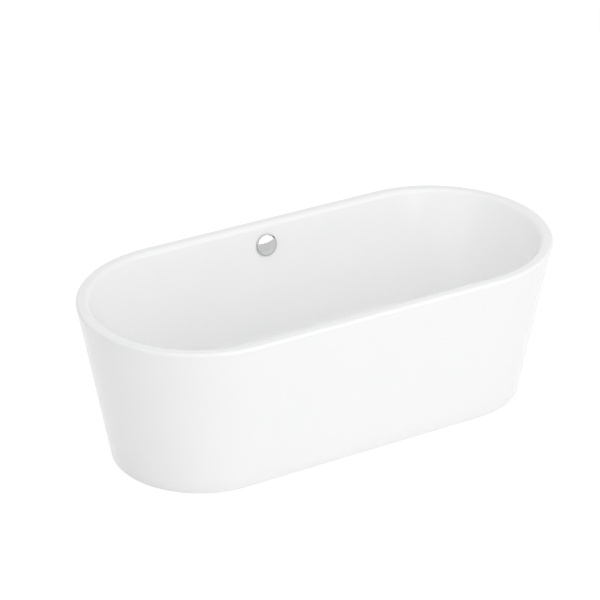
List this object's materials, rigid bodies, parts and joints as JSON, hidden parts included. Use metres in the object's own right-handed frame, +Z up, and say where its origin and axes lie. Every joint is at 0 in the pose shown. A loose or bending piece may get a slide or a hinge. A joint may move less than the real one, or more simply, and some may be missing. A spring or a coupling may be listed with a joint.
{
  "type": "freestanding bathtub",
  "caption": "Freestanding double-ended bath: tapered skirt with round ends, slim flat rim, sloped back rests, side overflow knob that lifts the drain plug, levelling feet.",
  "frame": {"origin": "on the room's floor under the middle of the bath", "axes": "+X along the bath's length, +Y towards the side with the overflow, +Z up"},
  "size_m": [1.7, 0.8, 0.565],
  "materials": {
    "acrylic": "glossy",
    "chrome": "polished",
    "zinc_steel": "zinc plated",
    "painted_steel": "powder coated",
    "timber": "raw board",
    "white_plastic": "satin",
    "grey_plastic": "satin",
    "black_plastic": "satin",
    "seal_rubber": "matt"
  },
  "bodies": {
    "bath": {"tub_shell": "acrylic", "outer_skirt": "acrylic", "rim_batten": "timber", "base_board": "timber", "rail_front": "painted_steel", "rail_back": "painted_steel", "cross_bar_left": "painted_steel", "cross_bar_right": "painted_steel", "frame_bolts": "zinc_steel", "frame_nuts": "zinc_steel", "board_screws": "zinc_steel", "skirt_blocks": "timber", "weld_nuts": "zinc_steel", "lock_nuts": "zinc_steel", "overflow_gasket": "seal_rubber", "overflow_body": "grey_plastic", "overflow_seal": "seal_rubber", "overflow_plate": "chrome", "overflow_screws": "zinc_steel", "overflow_pipe": "white_plastic", "pipe_nuts": "white_plastic", "cable_sleeve": "black_plastic", "waste_flange": "chrome", "waste_gasket_top": "seal_rubber", "waste_gasket_bottom": "seal_rubber", "waste_body": "grey_plastic", "lever_pin": "zinc_steel", "trap_body": "white_plastic", "trap_cup": "white_plastic", "trap_nuts": "grey_plastic", "outlet_pipe": "white_plastic"},
    "knob": {"overflow_knob": "chrome", "knob_spindle": "zinc_steel", "cable_drum": "white_plastic"},
    "plug": {"drain_plug": "chrome", "plug_seal": "seal_rubber"},
    "lever": {"lift_lever": "zinc_steel"},
    "foot_1": {"foot_pad_1": "black_plastic"},
    "stud_1": {"foot_stud_1": "zinc_steel"},
    "foot_2": {"foot_pad_2": "black_plastic"},
    "stud_2": {"foot_stud_2": "zinc_steel"},
    "foot_3": {"foot_pad_3": "black_plastic"},
    "stud_3": {"foot_stud_3": "zinc_steel"},
    "foot_4": {"foot_pad_4": "black_plastic"},
    "stud_4": {"foot_stud_4": "zinc_steel"}
  },
  "joints": [
    {"name": "knob_turn", "type": "hinge", "parent": "bath", "child": "knob", "pos_m": [-0.011, 0.34567, 0.49], "axis": [0, -0.9848, 0.1736], "range_deg": [0, 90]},
    {"name": "plug_lift", "type": "slide", "parent": "bath", "child": "plug", "axis": [0, 0, 1], "range_m": [0, 0.0093]},
    {"name": "lever_swing", "type": "hinge", "parent": "bath", "child": "lever", "pos_m": [0.009, 0, 0.086], "axis": [0, 1, 0], "range_deg": [0, 27]},
    {"name": "foot_1_level", "type": "slide", "parent": "bath", "child": "foot_1", "axis": [0, 0, -1], "range_m": [0, 0.02]},
    {"name": "stud_1_turn", "type": "hinge", "parent": "foot_1", "child": "stud_1", "pos_m": [-0.4, -0.23, 0], "axis": [0, 0, -1], "range_deg": [0, 4115]},
    {"name": "foot_2_level", "type": "slide", "parent": "bath", "child": "foot_2", "axis": [0, 0, -1], "range_m": [0, 0.02]},
    {"name": "stud_2_turn", "type": "hinge", "parent": "foot_2", "child": "stud_2", "pos_m": [0.4, -0.23, 0], "axis": [0, 0, -1], "range_deg": [0, 4115]},
    {"name": "foot_3_level", "type": "slide", "parent": "bath", "child": "foot_3", "axis": [0, 0, -1], "range_m": [0, 0.02]},
    {"name": "stud_3_turn", "type": "hinge", "parent": "foot_3", "child": "stud_3", "pos_m": [-0.4, 0.23, 0], "axis": [0, 0, -1], "range_deg": [0, 4115]},
    {"name": "foot_4_level", "type": "slide", "parent": "bath", "child": "foot_4", "axis": [0, 0, -1], "range_m": [0, 0.02]},
    {"name": "stud_4_turn", "type": "hinge", "parent": "foot_4", "child": "stud_4", "pos_m": [0.4, 0.23, 0], "axis": [0, 0, -1], "range_deg": [0, 4115]}
  ],
  "couplings": [
    {"joint": "plug_lift", "follows": "knob_turn", "m_per_rad": 0.0059},
    {"joint": "lever_swing", "follows": "knob_turn", "ratio": 0.3},
    {"joint": "stud_1_turn", "follows": "foot_1_level", "rad_per_m": 3590.4},
    {"joint": "stud_2_turn", "follows": "foot_2_level", "rad_per_m": 3590.4},
    {"joint": "stud_3_turn", "follows": "foot_3_level", "rad_per_m": 3590.4},
    {"joint": "stud_4_turn", "follows": "foot_4_level", "rad_per_m": 3590.4}
  ]
}
